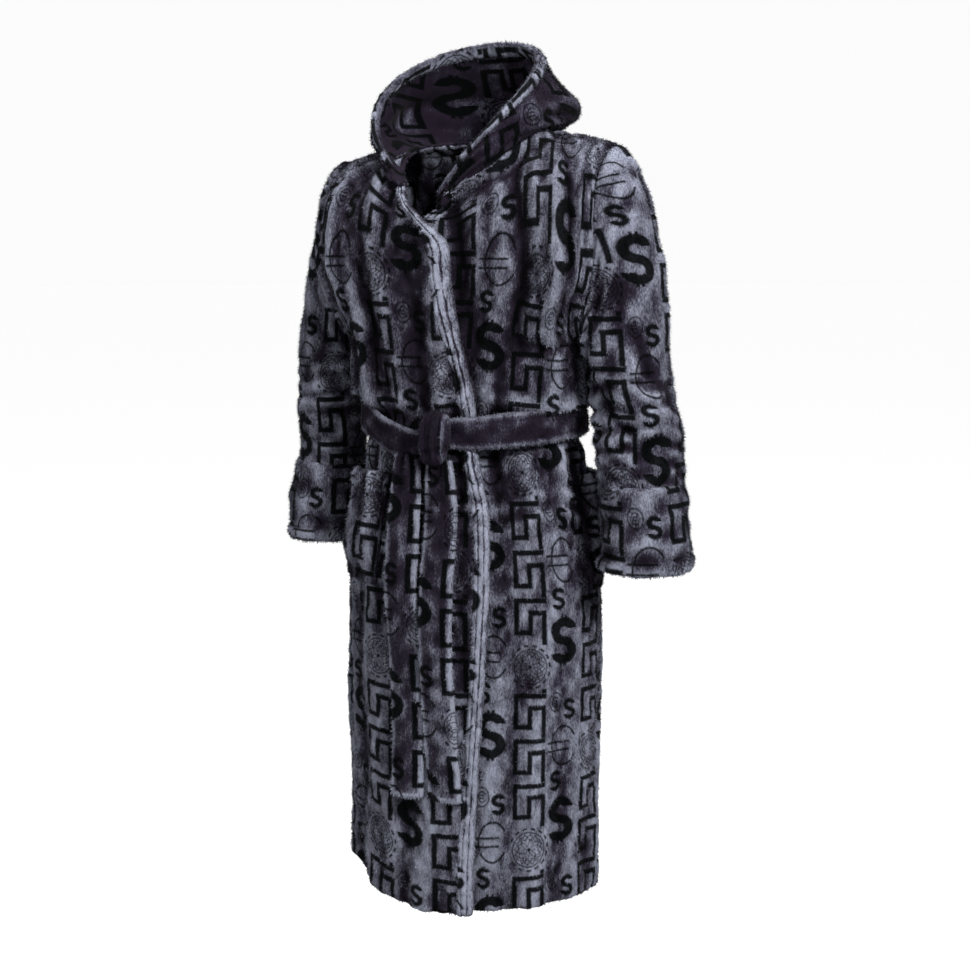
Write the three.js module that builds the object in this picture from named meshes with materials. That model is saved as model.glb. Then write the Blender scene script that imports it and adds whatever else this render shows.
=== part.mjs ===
// Hooded plush bathrobe with a wrap front, tied with its belt, as it hangs on a wearer.
// Millimetres. +Z is up, the front faces -Y and +X is the wearer's left. z = 0 is the neck point,
// where the shoulder seam meets the hood. Angles go round the body from the front to the wearer's left.
import * as THREE from 'three';

// ---- driving dimensions ----
const CLOTH = 5;               // thickness of the plush
const SEAM = 1.2;              // clearance between two pieces that are sewn edge to edge
const BENT_SEAM = 3.6;           // the same where both pieces bend away from the seam
const LAYER = 2.5;             // clearance between two layers that lie on each other

const HEM_Z = -1180;           // lower edge of the skirt in front
const HEM_RISE = { left: 22, right: 55 };   // the hem hangs higher than that at each side
const HIP_Z = -700;
const WAIST_Z = -425;          // middle of the belt
const ARMPIT_Z = -290;
const CHEST_Z = -160;          // the widest level of the armhole
const HEM = { side: 206, front: 150, back: 145 };
const HIP = { side: 210, front: 150, back: 150 };
const WAIST = { side: 172, front: 122, back: 118 };
const ARMPIT = { side: 194, front: 138, back: 124 };
const CHEST = { side: 230, front: 142, back: 126 };

const NECK_SIDE = 100;         // half the width of the neckline
const NECK_FRONT = 135;
const NECK_BACK = 92;
const NECK_DROP = 75;          // the neckline falls this far at the front
const NECK_BACK_RISE = 12;     // and rises this far at the back
const NECK_ANGLE = 40;         // the neckline takes this much of each quarter turn
const SHOULDER_X = 240;        // outer end of the shoulder seam
const SHOULDER_DROP = 20;
const LEFT_LIFT = 28;          // the robe sits this much higher on the wearer's left shoulder
const ARMHOLE_HALF = 80;       // half the depth of the armhole, front to back

const TWIST = 26;              // the skirt sits turned on the body towards the wearer's left
const SIDE_SEAM = 105;         // angle from the middle front to each side seam, below the waist
const OVERLAP_DROP = 22;       // the lower front lies this far inside the upper one
const RIGHT_EDGE = { neck: -16, chest: 7, waist: 21, hip: 27, hem: 19 };
const LEFT_EDGE = { neck: 2, chest: -14, waist: -20, hip: -22, hem: -24 };

const BAND_WIDTH = 18;         // folded band along the fronts and the hood
const BAND_THICK = 11;
const BAND_PROUD = 3;

const WRIST_Z = -630;
const CUFF_HEIGHT = 125;
const CUFF_THICK = 9;
const ARM_Y = -8;              // the sleeve hangs this far forward of the shoulder
// The right arm hangs closer to the body and further back, and its upper part is closer to the arm.
const RIGHT_ARM = { inward: 18, back: 34, narrower: 7 };
const SLEEVE_TOP = { x: 262, half: 62, z: -330 };
const SLEEVE_ELBOW = { x: 282, half: 60, z: -420 };
const SLEEVE_WRIST = { x: 299, half: 64 };
const SLEEVE_DEPTH = 1.12;     // a sleeve's depth for each unit of its width

const HOOD_TOP_Z = 170;
const HOOD_EDGE_LEFT = 100;    // half widths of the hood's mouth
const HOOD_EDGE_RIGHT = 150;
const HOOD_EDGE_BACK = 101;
const HOOD_EDGE_FRONT = 128;
const HOOD_EDGE_LOW = { left: -75, right: -65 };   // where the edge would meet the middle of the front
const HOOD_RISE = { left: 0.85, right: 1.2 };   // a higher value keeps that side's edge low for longer
const HOOD_POUCH = 135;        // the slack of the hood behind the neck
const HOOD_SIDE_SLACK = 34;
const HOOD_SEAM_TURN = 0.25;   // each half stops this many degrees short of the middle back

const POCKET_WIDTH_ANGLE = 46;
const POCKET_TOP_Z = -500;
const POCKET_HEIGHT = 170;
const POCKET_FULLNESS = 14;
const POCKET_BAND = 28;        // height of the folded band at a pocket's mouth
const BAND_EXTRA = 1.5;        // that band is thicker than the cloth by this, and stands out by it
const RIGHT_POCKET_EDGE = -30;
const LEFT_POCKET_EDGE = 83;

const BELT_HEIGHT = 46;
const BELT_THICK = 10;
const BELT_GAP = 5;            // from the cloth to the belt
const KNOT_WIDTH = 54;
const KNOT_HEIGHT = 80;
const KNOT_THICK = 34;
const KNOT_BELOW = 0.6;        // share of the knot's height below the middle of the belt
const TAIL_WIDTH = 52;
const TAIL_LENGTH = 520;
const TAIL_GAP = 8;            // between the two tails
const TAIL_SHIFT = 12;         // the pair hangs this far to the wearer's right of the knot
const LOOP_WIDTH = 12;
const LOOP_THICK = 3;
const LOOP_REACH = 8;          // the loop goes this far past the belt, above and below
const HANGER_WIDTH = 70;
const HANGER_HEIGHT = 26;
const HANGER_STRAP = 5;

// ---- small helpers ----
const rad = THREE.MathUtils.degToRad;
const lerp = THREE.MathUtils.lerp;
const smooth = THREE.MathUtils.smoothstep;
const vec = (x, y, z) => new THREE.Vector3(x, y, z);

function finish(color, roughness) {
  return new THREE.MeshStandardMaterial({ color, roughness, metalness: 0 });
}
const plush = finish(0x4b4856, 0.95);
const darkPlush = finish(0x2c2a33, 0.95);
const tape = finish(0x17161b, 0.8);

// A value that runs smoothly through stations given as [height, value], highest first.
function along(stations, z) {
  const last = stations.length - 1;
  if (z >= stations[0][0]) return stations[0][1];
  for (let i = 0; i < last; i += 1) {
    const [top, a] = stations[i];
    const [low, b] = stations[i + 1];
    if (z >= low) return lerp(a, b, smooth(top - z, 0, top - low));
  }
  return stations[last][1];
}

// ---- the shape of the robe's body ----
function bodySize(key, z) {
  return along([[CHEST_Z, CHEST[key]], [ARMPIT_Z, ARMPIT[key]], [WAIST_Z, WAIST[key]],
    [HIP_Z, HIP[key]], [HEM_Z, HEM[key]]], z);
}

function edgeAngle(edge, z) {
  return along([[0, edge.neck], [CHEST_Z, edge.chest], [WAIST_Z, edge.waist],
    [(WAIST_Z + HIP_Z) / 2, edge.hip], [HEM_Z, edge.hem]], z);
}

function armholeDepth(z) {
  if (z <= ARMPIT_Z) return 0;
  const part = Math.min(1, (z - ARMPIT_Z) / (CHEST_Z - ARMPIT_Z));
  return ARMHOLE_HALF * Math.sqrt(1 - (1 - part) ** 2);
}

// One level of the body: an ellipse, split at the sides by the armholes above the armpit.
function levelPoint(angle, z, back) {
  const forward = Math.cos(rad(angle));
  const behind = z > ARMPIT_Z ? back : forward < 0;
  const depth = armholeDepth(z);
  const reach = depth + (bodySize(behind ? 'back' : 'front', z) - depth) * Math.abs(forward);
  return vec(bodySize('side', z) * Math.sin(rad(angle)), behind ? reach : -reach, z);
}

// The neckline and the shoulder seam, as one line over the shoulders.
function topPoint(angle, back) {
  const fromMiddle = back ? 180 - Math.abs(angle) : Math.abs(angle);
  const side = Math.sign(angle) || 1;
  const ySign = back ? 1 : -1;
  if (fromMiddle <= NECK_ANGLE) {
    const turn = rad(90 * fromMiddle / NECK_ANGLE);
    const reach = back ? NECK_BACK : NECK_FRONT;
    const lift = leftLift(side * Math.sin(turn));
    const z = lift + (back ? NECK_BACK_RISE * Math.cos(turn) : -NECK_DROP * Math.cos(turn) ** 1.3);
    return vec(side * NECK_SIDE * Math.sin(turn), ySign * (reach * Math.cos(turn) + BENT_SEAM / 2), z);
  }
  const part = (fromMiddle - NECK_ANGLE) / (90 - NECK_ANGLE);
  const z = leftLift(side) - SHOULDER_DROP * part ** 1.4;
  return vec(side * lerp(NECK_SIDE, SHOULDER_X, part), ySign * BENT_SEAM / 2, z);
}

// How much a place lies higher than its mirror image: share goes from 0 in the middle to 1 at the wearer's left.
function leftLift(share) {
  return LEFT_LIFT * smooth(share, 0, 1);
}

// How much higher the cloth hangs than the row's height, which grows from the hips to the hem.
function hemRise(angle, row) {
  const turned = Math.abs(angle);
  const atSide = angle < 0 ? HEM_RISE.right : HEM_RISE.left;
  const atBack = (HEM_RISE.left + HEM_RISE.right) / 2;
  const rise = turned < 90 ? atSide * smooth(turned, 10, 80) : lerp(atSide, atBack, smooth(turned, 90, 180));
  return rise * smooth(-row, -HIP_Z, -HEM_Z);
}

// A point of the outer face. Rows above the chest are named by a height that ends at 0 on the seam.
function bodyPoint(angle, row, back) {
  if (row <= CHEST_Z) return levelPoint(angle, row, back).add(vec(0, 0, hemRise(angle, row)));
  const part = 1 - row / CHEST_Z;
  const low = levelPoint(angle, CHEST_Z, back);
  const top = topPoint(angle, back);
  const bend = vec(low.x, low.y, Math.min(top.z, lerp(CHEST_Z, top.z, 0.85)));
  return new THREE.QuadraticBezierCurve3(low, bend, top).getPoint(part);
}

// The straight way out of the cloth at a point of a surface.
function outward(surface, u, v) {
  const step = 1e-3;
  const du = surface(Math.min(1, u + step), v).sub(surface(Math.max(0, u - step), v));
  const dv = surface(u, Math.min(1, v + step)).sub(surface(u, Math.max(0, v - step)));
  return du.cross(dv).normalize();
}

// A closed sheet of cloth: the surface and its copy inside it, joined round the edges.
// proud(u, v) moves the outer face out, and thick(u, v) is the distance between the faces.
function sheet(surface, across, up, { proud = () => 0, thick = () => CLOTH } = {}) {
  const outer = [];
  const inner = [];
  for (let j = 0; j <= up; j += 1) {
    for (let i = 0; i <= across; i += 1) {
      const u = i / across;
      const v = j / up;
      const way = outward(surface, u, v);
      const point = surface(u, v).addScaledVector(way, proud(u, v));
      outer.push(point);
      inner.push(point.clone().addScaledVector(way, -thick(u, v)));
    }
  }
  const points = outer.concat(inner);
  const faces = [];
  const quad = (a, b, c, d) => faces.push(a, b, c, a, c, d);
  const row = across + 1;
  const shift = outer.length;
  for (let j = 0; j < up; j += 1) {
    for (let i = 0; i < across; i += 1) {
      const a = j * row + i;
      quad(a, a + 1, a + 1 + row, a + row);
      quad(shift + a, shift + a + row, shift + a + 1 + row, shift + a + 1);
    }
  }
  for (let i = 0; i < across; i += 1) {
    const top = up * row + i;
    quad(i, shift + i, shift + i + 1, i + 1);
    quad(top, top + 1, shift + top + 1, shift + top);
  }
  for (let j = 0; j < up; j += 1) {
    const left = j * row;
    const right = left + across;
    quad(left, left + row, shift + left + row, shift + left);
    quad(right, shift + right, shift + right + row, right + row);
  }
  return toGeometry(points, faces);
}

// A closed sleeve of cloth round an arm: both faces and the two rims.
function tube(surface, around, along_, thick) {
  const points = [];
  for (const depth of [0, 1]) {
    for (let j = 0; j <= along_; j += 1) {
      for (let i = 0; i < around; i += 1) {
        const u = i / around;
        const v = j / along_;
        const way = outward(surface, u, v);
        points.push(surface(u, v).addScaledVector(way, -depth * thick));
      }
    }
  }
  const shift = (along_ + 1) * around;
  const faces = [];
  const quad = (a, b, c, d) => faces.push(a, b, c, a, c, d);
  for (let i = 0; i < around; i += 1) {
    const next = (i + 1) % around;
    for (let j = 0; j < along_; j += 1) {
      const a = j * around;
      quad(a + i, a + next, a + around + next, a + around + i);
      quad(shift + a + i, shift + a + around + i, shift + a + around + next, shift + a + next);
    }
    const end = along_ * around;
    quad(i, shift + i, shift + next, next);
    quad(end + i, end + next, shift + end + next, shift + end + i);
  }
  return toGeometry(points, faces);
}

function toGeometry(points, faces) {
  const geometry = new THREE.BufferGeometry();
  geometry.setAttribute('position', new THREE.Float32BufferAttribute(points.flatMap((p) => p.toArray()), 3));
  geometry.setIndex(faces);
  geometry.computeVertexNormals();
  return geometry;
}

const robe = new THREE.Group();
function add(name, geometry, material) {
  const mesh = new THREE.Mesh(geometry, material);
  mesh.name = name;
  robe.add(mesh);
  return mesh;
}

// ---- body panels ----
// Rows of a panel from the hem to the shoulder, with one at each station of the body.
const ROWS = [HEM_Z];
for (const [top, count] of [[HIP_Z, 3], [WAIST_Z, 5], [ARMPIT_Z, 4], [CHEST_Z, 3], [0, 5]]) {
  const low = ROWS.at(-1);
  for (let i = 1; i <= count; i += 1) ROWS.push(lerp(low, top, i / count));
}

function rowHeight(v) {
  const place = v * (ROWS.length - 1);
  const i = Math.min(Math.floor(place), ROWS.length - 2);
  return lerp(ROWS[i], ROWS[i + 1], place - i);
}

function sideSeam(side, z) {
  const turned = smooth(-z, -ARMPIT_Z, -WAIST_Z);
  return lerp(90, SIDE_SEAM + side * TWIST, turned) * side;
}

// Angle that a length of cloth takes at a height.
function angleOf(length, z) {
  return THREE.MathUtils.radToDeg(length / bodySize('front', Math.min(z, CHEST_Z)));
}

function underlap(angle, row) {
  return OVERLAP_DROP * (1 - smooth(angle, 32, 62)) * smooth(-row, 5, 45);
}

function frontPanel(side) {
  const edge = side > 0 ? LEFT_EDGE : RIGHT_EDGE;
  const place = (u, v) => {
    const row = rowHeight(v);
    const inner = edgeAngle(edge, row) + side * angleOf(BAND_WIDTH + SEAM, row);
    const outer = sideSeam(side, row) - side * angleOf(SEAM, row);
    return [lerp(inner, outer, side > 0 ? u : 1 - u), row];
  };
  const surface = (u, v) => bodyPoint(...place(u, v), false);
  const proud = (u, v) => (side > 0 ? -underlap(...place(u, v)) : 0);
  return sheet(surface, 10, ROWS.length - 1, { proud });
}

function frontBand(side) {
  const edge = side > 0 ? LEFT_EDGE : RIGHT_EDGE;
  const place = (u, v) => {
    const row = rowHeight(v);
    const start = edgeAngle(edge, row);
    const end = start + side * angleOf(BAND_WIDTH, row);
    return [lerp(start, end, side > 0 ? u : 1 - u), row];
  };
  const surface = (u, v) => bodyPoint(...place(u, v), false);
  const proud = (u, v) => BAND_PROUD - (side > 0 ? underlap(...place(u, v)) : 0);
  return sheet(surface, 1, ROWS.length - 1, { proud, thick: () => BAND_THICK });
}

function backPanel() {
  const surface = (u, v) => {
    const row = rowHeight(v);
    const left = sideSeam(1, row) + angleOf(SEAM, row);
    const right = 360 + sideSeam(-1, row) - angleOf(SEAM, row);
    const angle = lerp(left, right, u);
    return bodyPoint(angle > 180 ? angle - 360 : angle, row, true);
  };
  return sheet(surface, 14, ROWS.length - 1);
}

// ---- sleeves and cuffs ----
// The armhole, from the shoulder down the front to the armpit and up the back.
function armholePoint(turn, side) {
  const back = turn > 180;
  const down = back ? 360 - turn : turn;
  if (down <= 90) {
    const point = bodyPoint(side * 90, CHEST_Z * (down / 90), back);
    return vec(side * point.x, point.y, point.z);
  }
  const swing = rad(down - 90);
  const z = CHEST_Z + (ARMPIT_Z - CHEST_Z) * Math.sin(swing);
  const y = ARMHOLE_HALF * Math.cos(swing);
  return vec(bodySize('side', z), back ? y : -y, z);
}

function sleeveRing(turn, z, side) {
  const x = along([[SLEEVE_TOP.z, SLEEVE_TOP.x], [SLEEVE_ELBOW.z, SLEEVE_ELBOW.x], [WRIST_Z, SLEEVE_WRIST.x]], z);
  const full = along([[SLEEVE_TOP.z, SLEEVE_TOP.half], [SLEEVE_ELBOW.z, SLEEVE_ELBOW.half],
    [WRIST_Z, SLEEVE_WRIST.half]], z);
  const forward = along([[SLEEVE_TOP.z, 0], [WRIST_Z, ARM_Y]], z);
  const apart = side > 0 ? 0 : smooth(-z, -CHEST_Z, -WRIST_Z);
  const half = full - (side > 0 ? 0 : RIGHT_ARM.narrower * (1 - smooth(-z, 430, 600)));
  return vec(x - RIGHT_ARM.inward * apart + half * Math.cos(rad(turn)),
    forward + RIGHT_ARM.back * apart - half * SLEEVE_DEPTH * Math.sin(rad(turn)), z);
}

const CUFF_TOP_Z = WRIST_Z + CUFF_HEIGHT;

function sleeve(side) {
  const surface = (u, v) => {
    const turn = 360 * (side > 0 ? 1 - u : u);
    const lower = sleeveRing(turn, SLEEVE_TOP.z, side);
    let point;
    if (v <= 0.45) {
      const start = armholePoint(turn, side);
      start.x += BENT_SEAM + SEAM;
      const bend = vec(lower.x, lerp(start.y, lower.y, 0.5), start.z);
      point = new THREE.QuadraticBezierCurve3(start, bend, lower).getPoint(v / 0.45);
    } else {
      point = sleeveRing(turn, lerp(SLEEVE_TOP.z, CUFF_TOP_Z + SEAM, (v - 0.45) / 0.55), side);
    }
    point.x *= side;
    return point;
  };
  return tube((u, v) => surface(u, 1 - v), 16, 10, CLOTH);
}

function cuff(side) {
  const surface = (u, v) => {
    const point = sleeveRing(360 * (side > 0 ? 1 - u : u), lerp(WRIST_Z, CUFF_TOP_Z, v), side);
    point.x *= side;
    return point;
  };
  return tube(surface, 16, 2, CUFF_THICK);
}

// ---- hood ----
function neckPoint(turn) {
  const side = Math.sign(turn) || 1;
  const around = Math.abs(turn);
  const point = around <= 90 ? topPoint(side * NECK_ANGLE * around / 90, false)
    : topPoint(side * (180 - NECK_ANGLE * (180 - around) / 90), true);
  point.z += CLOTH + SEAM;
  return point;
}

function hoodEdgePoint(turn) {
  const side = turn > 0 ? "left" : "right";
  const half = turn > 0 ? HOOD_EDGE_LEFT : HOOD_EDGE_RIGHT;
  const reach = lerp(-HOOD_EDGE_FRONT, HOOD_EDGE_BACK, (1 - Math.cos(rad(turn))) / 2);
  const rise = Math.sin(rad(Math.abs(turn)) / 2) ** HOOD_RISE[side];
  return vec(half * Math.sin(rad(turn)), reach, lerp(HOOD_EDGE_LOW[side], HOOD_TOP_Z, rise));
}

function hoodPoint(turn, up) {
  const low = neckPoint(turn);
  const top = hoodEdgePoint(turn);
  const away = vec(Math.sin(rad(turn)), -Math.cos(rad(turn)), 0);
  const behind = (1 - Math.cos(rad(turn))) / 2;
  const slack = HOOD_SIDE_SLACK * Math.sin(rad(Math.abs(turn))) + HOOD_POUCH * behind ** 2;
  const first = low.clone().addScaledVector(away, slack).add(vec(0, 0, 0.15 * (top.z - low.z)));
  const second = top.clone().addScaledVector(away, slack * 0.8).add(vec(0, 0, -0.25 * (top.z - low.z)));
  return new THREE.CubicBezierCurve3(low, first, second, top).getPoint(up);
}

// The mouth of each half starts where its front's edge meets the neckline.
function hoodStart(side) {
  const edge = side > 0 ? LEFT_EDGE : RIGHT_EDGE;
  return 90 * edge.neck / NECK_ANGLE;
}

function hoodLength(turn) {
  return hoodPoint(turn, 1).distanceTo(hoodPoint(turn, 0.5)) + hoodPoint(turn, 0.5).distanceTo(hoodPoint(turn, 0));
}

function hoodSheet(side, bandOnly) {
  const surface = (u, v) => {
    const middle = side * (180 - HOOD_SEAM_TURN);
    const turn = lerp(hoodStart(side), middle, side > 0 ? u : 1 - u);
    const split = 1 - BAND_WIDTH / (hoodLength(turn) + BAND_WIDTH);
    const gap = SEAM / hoodLength(turn);
    return hoodPoint(turn, bandOnly ? lerp(split + gap, 1, v) : split * v);
  };
  const options = bandOnly ? { proud: () => BAND_PROUD, thick: () => BAND_THICK } : {};
  return sheet(surface, 12, bandOnly ? 1 : 6, options);
}

// ---- pockets ----
function pocketSurface(side) {
  const start = side > 0 ? LEFT_POCKET_EDGE : RIGHT_POCKET_EDGE;
  return (u, row) => bodyPoint(start + side * POCKET_WIDTH_ANGLE * (side > 0 ? u : 1 - u), row, false);
}

function pocketFullness(u, fromTop) {
  const across = smooth(Math.min(u, 1 - u), 0, 0.22);
  const down = 1 - smooth(fromTop, 0.6, 0.97);
  return POCKET_FULLNESS * across * down;
}

function pocket(side) {
  const face = pocketSurface(side);
  const top = POCKET_TOP_Z - POCKET_BAND - SEAM;
  const low = POCKET_TOP_Z - POCKET_HEIGHT;
  const proud = (u, v) => CLOTH + LAYER + pocketFullness(u, 1 - v);
  return sheet((u, v) => face(u, lerp(low, top, v)), 8, 6, { proud });
}

function pocketBand(side) {
  const face = pocketSurface(side);
  const proud = (u) => CLOTH + LAYER + BAND_EXTRA + pocketFullness(u, 0);
  const surface = (u, v) => face(u, lerp(POCKET_TOP_Z - POCKET_BAND, POCKET_TOP_Z, v));
  return sheet(surface, 8, 1, { proud, thick: () => CLOTH + BAND_EXTRA });
}

// ---- belt ----
const KNOT_LOW_Z = WAIST_Z - KNOT_HEIGHT * KNOT_BELOW;

function beltWrap() {
  const clear = KNOT_WIDTH / 2 + SEAM;
  const start = THREE.MathUtils.radToDeg(Math.asin(clear / (WAIST.side + BELT_GAP)));
  const surface = (u, v) => {
    const angle = lerp(start, 360 - start, u);
    const z = WAIST_Z + BELT_HEIGHT * (v - 0.5);
    return levelPoint(angle > 180 ? angle - 360 : angle, z, false);
  };
  return sheet(surface, 28, 1, { proud: () => BELT_GAP + BELT_THICK, thick: () => BELT_THICK });
}

function roundedBlock(width, depth, height, round) {
  const shape = new THREE.Shape();
  const x = width / 2 - round;
  const z = height / 2 - round;
  shape.absarc(x, z, round, 0, Math.PI / 2);
  shape.absarc(-x, z, round, Math.PI / 2, Math.PI);
  shape.absarc(-x, -z, round, Math.PI, 1.5 * Math.PI);
  shape.absarc(x, -z, round, 1.5 * Math.PI, 2 * Math.PI);
  const geometry = new THREE.ExtrudeGeometry(shape, { depth, bevelEnabled: false, curveSegments: 4 });
  geometry.rotateX(Math.PI / 2);
  return geometry;
}

function knot() {
  const geometry = roundedBlock(KNOT_WIDTH, KNOT_THICK, KNOT_HEIGHT, 14);
  geometry.translate(0, -(WAIST.front + BELT_GAP), KNOT_LOW_Z + KNOT_HEIGHT / 2);
  return geometry;
}

// A tail hangs in front of the fronts: its way down keeps clear of the cloth at every height.
function tail(middleX) {
  const top = KNOT_LOW_Z - SEAM;
  const surface = (u, v) => {
    const z = lerp(top - TAIL_LENGTH, top, v);
    const x = middleX + TAIL_WIDTH * (u - 0.5);
    return vec(x, -(tailReach(z) + BELT_THICK), z);
  };
  return sheet(surface, 2, 6, { thick: () => BELT_THICK });
}

function tailReach(z) {
  const start = bodySize('front', KNOT_LOW_Z) + BELT_GAP + BAND_PROUD;
  return lerp(start, bodySize('front', HIP_Z) + BELT_GAP + BAND_PROUD, smooth(-z, -KNOT_LOW_Z, -HIP_Z));
}

// A loop is a narrow strap that stands off the side seam and holds the belt to it.
function beltLoop(side) {
  const angle = sideSeam(side, WAIST_Z);
  const spot = levelPoint(angle, WAIST_Z, false);
  const reach = BELT_GAP + BELT_THICK + LAYER;
  const half = BELT_HEIGHT / 2 + LOOP_REACH;
  const foot = levelPoint(angle, WAIST_Z - half, false).distanceTo(vec(0, 0, WAIST_Z - half))
    - spot.distanceTo(vec(0, 0, WAIST_Z)) + LAYER;
  const shape = new THREE.Shape();
  shape.moveTo(foot, half);
  shape.lineTo(reach + LOOP_THICK, half);
  shape.lineTo(reach + LOOP_THICK, -half);
  shape.lineTo(foot, -half);
  shape.lineTo(foot, -half + LOOP_THICK);
  shape.lineTo(reach, -half + LOOP_THICK);
  shape.lineTo(reach, half - LOOP_THICK);
  shape.lineTo(foot, half - LOOP_THICK);
  const geometry = new THREE.ExtrudeGeometry(shape, { depth: LOOP_WIDTH, bevelEnabled: false });
  geometry.translate(0, 0, -LOOP_WIDTH / 2);
  geometry.rotateX(Math.PI / 2);
  const way = outward((u, v) => levelPoint(angle + u, WAIST_Z + v, false), 0.5, 0.5);
  geometry.rotateZ(Math.atan2(way.y, way.x));
  geometry.translate(spot.x, spot.y, spot.z);
  return geometry;
}

// The loop that hangs the robe on a hook, inside the back of the neck.
function hangerLoop() {
  const outerHalf = HANGER_WIDTH / 2;
  const shape = new THREE.Shape();
  shape.moveTo(-outerHalf, -HANGER_HEIGHT);
  shape.lineTo(-outerHalf, 0);
  shape.lineTo(outerHalf, 0);
  shape.lineTo(outerHalf, -HANGER_HEIGHT);
  shape.lineTo(outerHalf - HANGER_STRAP, -HANGER_HEIGHT);
  shape.lineTo(outerHalf - HANGER_STRAP, -HANGER_STRAP);
  shape.lineTo(-outerHalf + HANGER_STRAP, -HANGER_STRAP);
  shape.lineTo(-outerHalf + HANGER_STRAP, -HANGER_HEIGHT);
  const geometry = new THREE.ExtrudeGeometry(shape, { depth: HANGER_STRAP / 2, bevelEnabled: false });
  geometry.rotateX(Math.PI / 2);
  geometry.translate(0, NECK_BACK - 2 * CLOTH - LAYER, 0);
  return geometry;
}

add('back_panel', backPanel(), plush);
for (const [name, side] of [['left', 1], ['right', -1]]) {
  add(`${name}_front_panel`, frontPanel(side), plush);
  add(`${name}_front_band`, frontBand(side), darkPlush);
  add(`${name}_sleeve`, sleeve(side), plush);
  add(`${name}_cuff`, cuff(side), darkPlush);
  add(`hood_${name}`, hoodSheet(side, false), plush);
  add(`hood_${name}_band`, hoodSheet(side, true), darkPlush);
  add(`${name}_pocket`, pocket(side), plush);
  add(`${name}_pocket_band`, pocketBand(side), darkPlush);
  add(`${name}_belt_loop`, beltLoop(side), tape);
}
add('belt_wrap', beltWrap(), darkPlush);
add('belt_knot', knot(), darkPlush);
add('belt_tail_front', tail((TAIL_WIDTH + TAIL_GAP) / 2 - TAIL_SHIFT), darkPlush);
add('belt_tail_back', tail(-(TAIL_WIDTH + TAIL_GAP) / 2 - TAIL_SHIFT), darkPlush);
add('hanger_loop', hangerLoop(), tape);

export default robe;
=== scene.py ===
"""A long hooded plush bathrobe: wrap front, tied belt, patch pockets and turned-back cuffs."""
import math

import bmesh
import bpy
import numpy as np
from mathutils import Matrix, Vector, noise


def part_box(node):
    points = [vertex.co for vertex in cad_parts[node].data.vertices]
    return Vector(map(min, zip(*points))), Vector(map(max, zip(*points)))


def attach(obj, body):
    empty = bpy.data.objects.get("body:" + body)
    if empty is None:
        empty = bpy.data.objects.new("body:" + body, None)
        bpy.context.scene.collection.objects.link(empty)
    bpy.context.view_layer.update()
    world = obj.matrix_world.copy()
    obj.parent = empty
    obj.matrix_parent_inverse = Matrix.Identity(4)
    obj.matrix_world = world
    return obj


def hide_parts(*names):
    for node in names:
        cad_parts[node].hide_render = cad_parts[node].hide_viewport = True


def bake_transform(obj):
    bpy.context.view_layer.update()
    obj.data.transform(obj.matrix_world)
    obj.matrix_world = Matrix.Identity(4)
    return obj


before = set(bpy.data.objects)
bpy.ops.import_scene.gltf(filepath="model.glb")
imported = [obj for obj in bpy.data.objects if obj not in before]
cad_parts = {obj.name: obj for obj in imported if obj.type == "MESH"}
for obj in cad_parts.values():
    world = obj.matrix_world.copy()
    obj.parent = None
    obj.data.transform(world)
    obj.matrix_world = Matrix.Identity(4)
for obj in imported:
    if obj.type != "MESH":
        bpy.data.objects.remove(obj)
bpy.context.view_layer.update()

# ---- sizes, in metres; +Z up, the front faces -Y, +X is the wearer's left ----
CLOTH = 0.005
HEM_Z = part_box("right_front_panel")[0].z
WAIST_Z = sum(corner.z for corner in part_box("belt_wrap")) / 2
CUFF_TOP_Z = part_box("left_cuff")[1].z
WRIST_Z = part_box("left_cuff")[0].z
KNOT_LOW_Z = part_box("belt_knot")[0].z
HIP_Z, ARMPIT_Z, CHEST_Z = -0.700, -0.290, -0.160
SHOULDER_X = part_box("back_panel")[1].x
ARM_SIDE_X = 0.194
WAIST_SIDE, WAIST_FRONT = 0.172, 0.122
SHOULDER_DROP, ARMHOLE_HALF = 0.020, 0.080

# half widths and depths of the body at each level, highest first
SIDE = [(CHEST_Z, 0.230), (ARMPIT_Z, ARM_SIDE_X), (WAIST_Z, WAIST_SIDE), (HIP_Z, 0.210), (HEM_Z, 0.206)]
FRONT = [(CHEST_Z, 0.142), (ARMPIT_Z, 0.138), (WAIST_Z, WAIST_FRONT), (HIP_Z, 0.150), (HEM_Z, 0.150)]
BACK = [(CHEST_Z, 0.126), (ARMPIT_Z, 0.124), (WAIST_Z, 0.118), (HIP_Z, 0.150), (HEM_Z, 0.145)]
NECK_SIDE, NECK_FRONT, NECK_BACK, NECK_DROP, NECK_ANGLE = 0.100, 0.135, 0.092, 0.075, 40.0
NECK_BACK_RISE, LEFT_LIFT = 0.012, 0.028
HEM_RISE = {1: 0.022, -1: 0.055}

TWIST, SIDE_SEAM = 26.0, 105.0
UNDERLAP = 0.022
MID_HIP_Z = (WAIST_Z + HIP_Z) / 2
# where each front's edge stands round the body at each level, in degrees from the middle
EDGE = {1: [(0, 2), (CHEST_Z, -14), (WAIST_Z, -20), (MID_HIP_Z, -22), (HEM_Z, -24)],
        -1: [(0, -16), (CHEST_Z, 7), (WAIST_Z, 21), (MID_HIP_Z, 27), (HEM_Z, 19)]}
NAME = {1: "left", -1: "right"}
BAND_WIDTH, BAND_THICK, BAND_TUCK, BAND_RISE = 0.018, 0.012, 0.002, 0.007
PRINT_RADIUS = 0.20     # turns an angle round the body into a length on the print
SEAM_GAP = 0.0006       # half the gap between the front panels and the back

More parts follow.
